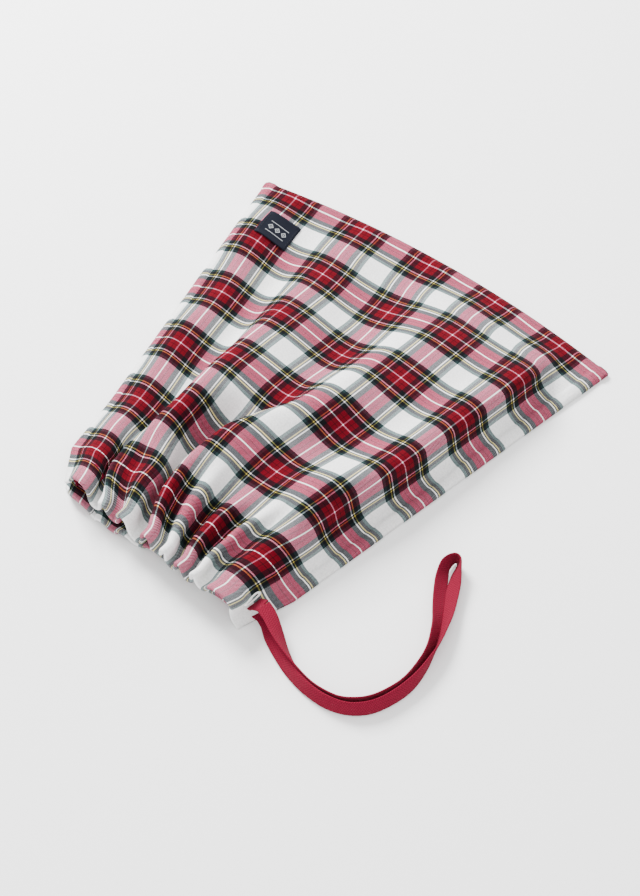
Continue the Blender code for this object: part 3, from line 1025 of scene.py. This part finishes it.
@dataclass
class Seams:
    """Overlocked allowances between the plies, the casings' stitching and the bar tack."""

    drape: Drape
    allowance: float = 0.0062
    thickness: float = 0.0007
    slit: tuple[float, float] = (0.0062, 0.0019)     # half its width and half its height
    proud: float = 0.0012        # how far the slit's binding stands out

    def strip(self, name: str, node: str, path: np.ndarray, inward: np.ndarray,
              finish: bpy.types.Material) -> None:
        """One allowance: a narrow strip whose inner edge is bound with thread loops.

        Args:
            name: The object's name.
            node: The CAD node it stands for.
            path: The seam's line.
            inward: The direction into the sack at each point.
            finish: The material.
        """
        far = np.concatenate([[0], np.cumsum(np.linalg.norm(np.diff(path, axis=0), axis=1))])
        middle = path + inward * (0.0011 + self.allowance / 2)
        item = ribbon(name, middle, inward, self.allowance, self.thickness)
        points = np.array([v.co for v in item.data.vertices]).reshape(len(path), -1, 3)
        bound = np.sin(far / 0.0016 * pi) * 0.0003
        points[:, 6:12] += (inward * bound[:, None])[:, None]
        item.data.vertices.foreach_set("co", points.astype(np.float32).ravel())
        item.data.update()
        item.data.materials.append(finish)
        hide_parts(node)
        gather(item)

    def allowances(self, finish: bpy.types.Material) -> None:
        """The two side seams and the bottom seam.

        Args:
            finish: The material.
        """
        vs = np.linspace(0.05, 4.95, 330)
        for node, sign in (("side_seam_left", -1), ("side_seam_right", 1)):
            plan = np.array([self.drape.side(v, sign) for v in vs])
            path = np.column_stack([plan, np.full(len(vs), 0.00165)])
            inward = np.tile(np.array([-sign * 0.98, -0.2, 0.0]), (len(vs), 1))
            self.strip(node + "_overlock", node, path, inward, finish)
        row = self.drape.row(0.0)[6:-6]
        path = np.column_stack([row[:, :2], np.full(len(row), 0.00165)])
        inward = np.tile(np.array([0.0, -1.0, 0.0]), (len(row), 1))
        self.strip("bottom_seam_overlock", "bottom_seam", path, inward, finish)

    def casing(self, finish: bpy.types.Material) -> None:
        """The row of stitching along each casing.

        Args:
            finish: The material.
        """
        for ply, node in ((Ply.FRONT, "front_casing_stitching"), (Ply.BACK, "back_casing_stitching")):
            panel = Panel(ply, self.drape)
            grid, vs = panel.outer(), panel.places()
            k = int(np.searchsorted(vs, STITCH_V))
            t = (STITCH_V - vs[k - 1]) / (vs[k] - vs[k - 1])
            up = normals(grid)
            line = (grid[k - 1] * (1 - t) + grid[k] * t)[3:-3]
            out = (up[k - 1] * (1 - t) + up[k] * t)[3:-3]
            if ply is Ply.FRONT:
                line = line + out * (CLOTH / 2 - 0.00005)
            else:
                line = line + out * (0.0010 + CLOTH / 2 + 0.0001)
            item = sew(node + "_thread", line, out, 0.0024, 0.00015, 0.0008)
            item.data.materials.append(finish)
            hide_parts(node)
            gather(item)

    def bar_tack(self, finish: bpy.types.Material) -> None:
        """The close stitches that bind the slit where the tape leaves the front casing.

        Args:
            finish: The material.
        """
        cloth = Panel(Ply.FRONT, self.drape).outer().reshape(-1, 3)
        cloth = cloth[cloth[:, 0] > 0.070]
        middle = LOOP_ROUTE[0][2] - 0.0004
        line = []
        for turn in np.linspace(0, 2 * pi, 61):
            y, z = TAPE_Y + self.slit[0] * cos(turn), middle + self.slit[1] * sin(turn)
            slice_ = cloth[np.abs(cloth[:, 1] - y) < 0.004]
            slice_ = slice_[np.argsort(slice_[:, 2])]
            line.append((float(np.interp(z, slice_[:, 2], slice_[:, 0])) + self.proud, y, z))
        line = np.array(line)
        line[:, 0] = soften(line[:, 0], 8)
        out = np.tile(np.array([0.85, 0.0, 0.53]), (len(line), 1))
        item = sew("exit_bar_tack_thread", line, out, 0.0016, 0.00055, -0.0010)
        item.data.materials.append(finish)
        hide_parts("exit_bar_tack")
        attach(item, "sack")


# -------- stage

@dataclass
class Studio:
    """Pale floor, soft light and the camera."""

    eye: tuple[float, float, float] = (0.4726, -0.5898, 0.9560)
    aim: tuple[float, float, float] = (0.0320, -0.0226, 0.0)
    lens: float = 72.86
    floor_half: float = 30.0
    floor_shade: float = 0.88
    room_light: float = 1.85

    def build(self) -> None:
        """Set everything up around the object."""
        scene = bpy.context.scene
        data = bpy.data.cameras.new("camera")
        data.lens = self.lens
        data.sensor_width = 36
        camera = bpy.data.objects.new("camera", data)
        scene.collection.objects.link(camera)
        camera.location = self.eye
        look = Vector(self.aim) - Vector(self.eye)
        camera.rotation_euler = look.to_track_quat("-Z", "Y").to_euler()
        scene.camera = camera
        half = self.floor_half
        corners = np.array([(-half, -half, 0), (half, -half, 0), (half, half, 0), (-half, half, 0)], float)
        floor = mesh_object("floor", corners, [(0, 1, 2, 3)])
        paint = Paint("floor_paint")
        floor.data.materials.append(paint.finish(Base_Color=rgba((self.floor_shade,) * 3), Roughness=0.95,
                                                 Specular_IOR_Level=0.03))
        world = bpy.data.worlds.new("soft_room")
        scene.world = world
        world.use_nodes = True
        background = world.node_tree.nodes["Background"]
        background.inputs[0].default_value = (1, 1, 1, 1)
        background.inputs[1].default_value = self.room_light
        self.lamp("window", (-1.35, 0.50, 1.15), 0.7, 135.0)
        self.lamp("fill", (0.9, -1.2, 1.6), 1.6, 10.0)

    @staticmethod
    def lamp(name: str, place: tuple[float, float, float], size: float, power: float) -> None:
        """Add a square soft light aimed at the sack."""
        data = bpy.data.lights.new(name, "AREA")
        data.energy = power
        data.size = size
        lamp = bpy.data.objects.new(name, data)
        bpy.context.scene.collection.objects.link(lamp)
        lamp.location = place
        lamp.rotation_euler = (-Vector(place)).to_track_quat("-Z", "Y").to_euler()


# -------- assembly

def main() -> None:
    """Build every piece of the sack, logging each panel's face count."""
    logging.basicConfig(level=logging.INFO, format="%(message)s")
    Studio().build()
    drape = Drape()
    twill = TartanTwill().build()
    for ply in Ply:
        panel = Panel(ply, drape).build()
        panel.data.materials.append(twill)
        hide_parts(ply.value)
        gather(panel)
        LOG.info("%s: %d faces", panel.name, len(panel.data.polygons))
    string = Drawstring(drape)
    tape = HerringboneTape().build()
    string.loop(tape)
    string.runs(tape)
    string.far_turn(tape)
    white_thread = SewingThread("sewing_thread", (0.72, 0.71, 0.69)).build()
    seams = Seams(drape)
    seams.allowances(SewingThread("overlock_thread", (0.66, 0.65, 0.63)).build())
    seams.casing(white_thread)
    seams.bar_tack(white_thread)
    label = Label(drape)
    label.build(WovenLabel().build())
    label.stitching(SewingThread("navy_thread", (0.004, 0.005, 0.009)).build())


if __name__ == "__main__":
    main()
